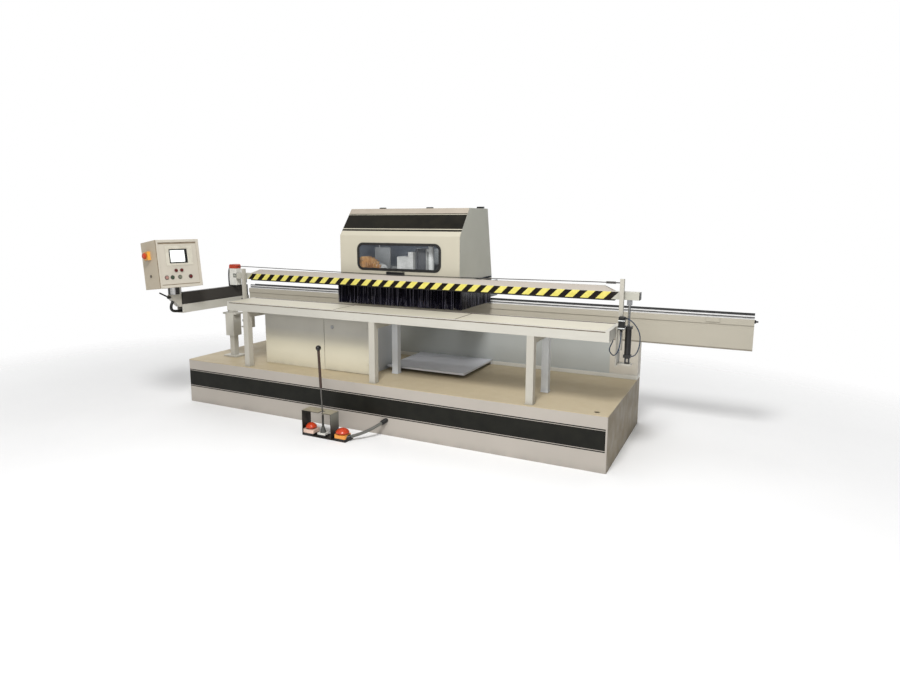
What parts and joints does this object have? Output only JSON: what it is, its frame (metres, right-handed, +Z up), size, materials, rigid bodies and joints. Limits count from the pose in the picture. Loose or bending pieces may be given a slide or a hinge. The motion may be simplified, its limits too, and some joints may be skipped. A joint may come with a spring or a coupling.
{
  "type": "profile sander",
  "caption": "Long floor-standing profile sander: work table under a striped clamp beam, windowed sanding hood on a rear rail, swivelling control panel and foot switch.",
  "frame": {"origin": "centre of the base's underside, on the floor", "axes": "+X along the machine to the overhanging end of its rail, +Y to its rear, +Z up"},
  "size_m": [4.624, 1.8515, 1.673],
  "materials": {
    "cream_paint": "satin",
    "beam_paint": "satin, striped front",
    "tan_paint": "satin",
    "grey_paint": "satin",
    "motor_paint": "satin",
    "board": "laminated",
    "steel": "ground",
    "dark_alloy": "anodised",
    "black_rubber": "matt",
    "black_plastic": "satin",
    "black_sheet": "satin",
    "bristle": "matt",
    "clear_sheet": "clear",
    "abrasive_cloth": "matt",
    "abrasive_block": "matt",
    "white_plastic": "satin",
    "red_plastic": "gloss",
    "button_pale": "gloss",
    "button_green": "gloss",
    "button_grey": "gloss",
    "grey_hose": "satin",
    "hose_plastic": "satin"
  },
  "bodies": {
    "base": {"base_plinth": "cream_paint", "base_deck": "tan_paint", "rear_wall": "grey_paint", "rail_beam": "cream_paint", "guide_rails": "steel", "drive_belt": "black_rubber", "table_frame": "cream_paint", "table_boards": "board", "table_trestles": "grey_paint", "cabinet_body": "cream_paint", "cabinet_panel": "cream_paint", "switchgear": "black_plastic", "dust_tray": "tan_paint", "clamp_stands": "grey_paint", "clamp_cylinders": "dark_alloy", "pull_rope": "steel", "rope_switch": "white_plastic", "air_hoses": "hose_plastic", "panel_column": "cream_paint", "panel_arm": "cream_paint", "arm_fence": "dark_alloy", "foot_guard": "black_sheet", "foot_blocks": "white_plastic", "carry_rod": "black_sheet", "conduit_hose": "grey_hose", "conduit_glands": "black_plastic"},
    "carriage": {"carriage_saddle": "grey_paint", "bearing_blocks": "steel", "hood_back": "cream_paint", "brush_holder": "dark_alloy", "brush_front": "bristle", "brush_left": "bristle", "brush_right": "bristle", "tool_rail": "grey_paint", "unit_motors": "motor_paint", "drive_motor": "motor_paint"},
    "pulley": {"drive_pulley": "steel"},
    "flap": {"flap_wheel": "abrasive_cloth"},
    "profile": {"profile_wheel": "abrasive_block"},
    "finish": {"finish_wheel": "abrasive_cloth"},
    "lid": {"hood_cover": "cream_paint", "window_pane": "clear_sheet", "window_gasket": "black_rubber", "hood_handle": "black_plastic"},
    "clamp": {"clamp_beam": "beam_paint", "clamp_pad": "black_rubber", "beam_caps": "black_plastic", "piston_rods": "steel"},
    "door": {"cabinet_door": "cream_paint"},
    "lock": {"door_lock": "steel"},
    "panel": {"panel_box": "cream_paint", "panel_fittings": "black_plastic"},
    "estop": {"estop_button": "red_plastic"},
    "start_button": {"button_start": "button_pale"},
    "green_button": {"button_green": "button_green"},
    "grey_button": {"button_grey": "button_grey"},
    "stop_button": {"button_stop": "red_plastic"},
    "lever": {"clamp_lever": "black_plastic"},
    "left_pedal": {"pedal_left": "red_plastic"},
    "right_pedal": {"pedal_right": "red_plastic"}
  },
  "joints": [
    {"name": "carriage_travel", "type": "slide", "parent": "base", "child": "carriage", "axis": [1, 0, 0], "range_m": [-0.9, 1.9]},
    {"name": "pulley_turn", "type": "hinge", "parent": "carriage", "child": "pulley", "pos_m": [0.0815, 0.515, 0.9293], "axis": [0, 1, 0], "continuous": true},
    {"name": "flap_spin", "type": "hinge", "parent": "carriage", "child": "flap", "pos_m": [-0.27, 0, 1.14], "axis": [0, 1, 0], "continuous": true},
    {"name": "profile_spin", "type": "hinge", "parent": "carriage", "child": "profile", "pos_m": [0.135, -0.1, 0.96], "axis": [0, 0, 1], "continuous": true},
    {"name": "finish_spin", "type": "hinge", "parent": "carriage", "child": "finish", "pos_m": [0.262, -0.1, 0.96], "axis": [0, 0, 1], "continuous": true},
    {"name": "hood_open", "type": "hinge", "parent": "carriage", "child": "lid", "pos_m": [0.0815, 0.358, 1.665], "axis": [-1, 0, 0], "range_deg": [0, 70]},
    {"name": "beam_clamp", "type": "slide", "parent": "base", "child": "clamp", "axis": [0, 0, -1], "range_m": [0, 0.13]},
    {"name": "door_open", "type": "hinge", "parent": "base", "child": "door", "pos_m": [-0.0755, -0.3515, 0.59], "axis": [0, 0, 1], "range_deg": [0, 95]},
    {"name": "lock_turn", "type": "hinge", "parent": "door", "child": "lock", "pos_m": [-0.429, -0.34, 0.725], "axis": [0, 1, 0], "range_deg": [0, 90]},
    {"name": "panel_swivel", "type": "hinge", "parent": "base", "child": "panel", "pos_m": [-1.55, -0.891, 1.006], "axis": [0, 0, 1], "range_deg": [-60, 60]},
    {"name": "lever_turn", "type": "hinge", "parent": "base", "child": "lever", "pos_m": [-1.55, -0.941, 0.966], "axis": [0, -1, 0], "range_deg": [0, 80]},
    {"name": "estop_push", "type": "slide", "parent": "panel", "child": "estop", "axis": [0.2672, 0.9636, 0], "range_m": [0, 0.005], "stiffness_N_per_m": 500, "springref_m": -0.001},
    {"name": "start_push", "type": "slide", "parent": "panel", "child": "start_button", "axis": [-0.9561, 0.2652, -0.1245], "range_m": [0, 0.003], "stiffness_N_per_m": 500, "springref_m": -0.001},
    {"name": "green_push", "type": "slide", "parent": "panel", "child": "green_button", "axis": [-0.9561, 0.2652, -0.1245], "range_m": [0, 0.003], "stiffness_N_per_m": 500, "springref_m": -0.001},
    {"name": "grey_push", "type": "slide", "parent": "panel", "child": "grey_button", "axis": [-0.9561, 0.2652, -0.1245], "range_m": [0, 0.003], "stiffness_N_per_m": 500, "springref_m": -0.001},
    {"name": "stop_push", "type": "slide", "parent": "panel", "child": "stop_button", "axis": [-0.9561, 0.2652, -0.1245], "range_m": [0, 0.003], "stiffness_N_per_m": 500, "springref_m": -0.001},
    {"name": "left_pedal_push", "type": "slide", "parent": "base", "child": "left_pedal", "axis": [0, 0, -1], "range_m": [0, 0.008], "stiffness_N_per_m": 1500, "springref_m": -0.002},
    {"name": "right_pedal_push", "type": "slide", "parent": "base", "child": "right_pedal", "axis": [0, 0, -1], "range_m": [0, 0.008], "stiffness_N_per_m": 1500, "springref_m": -0.002}
  ],
  "couplings": [
    {"joint": "pulley_turn", "follows": "carriage_travel", "rad_per_m": 25}
  ]
}
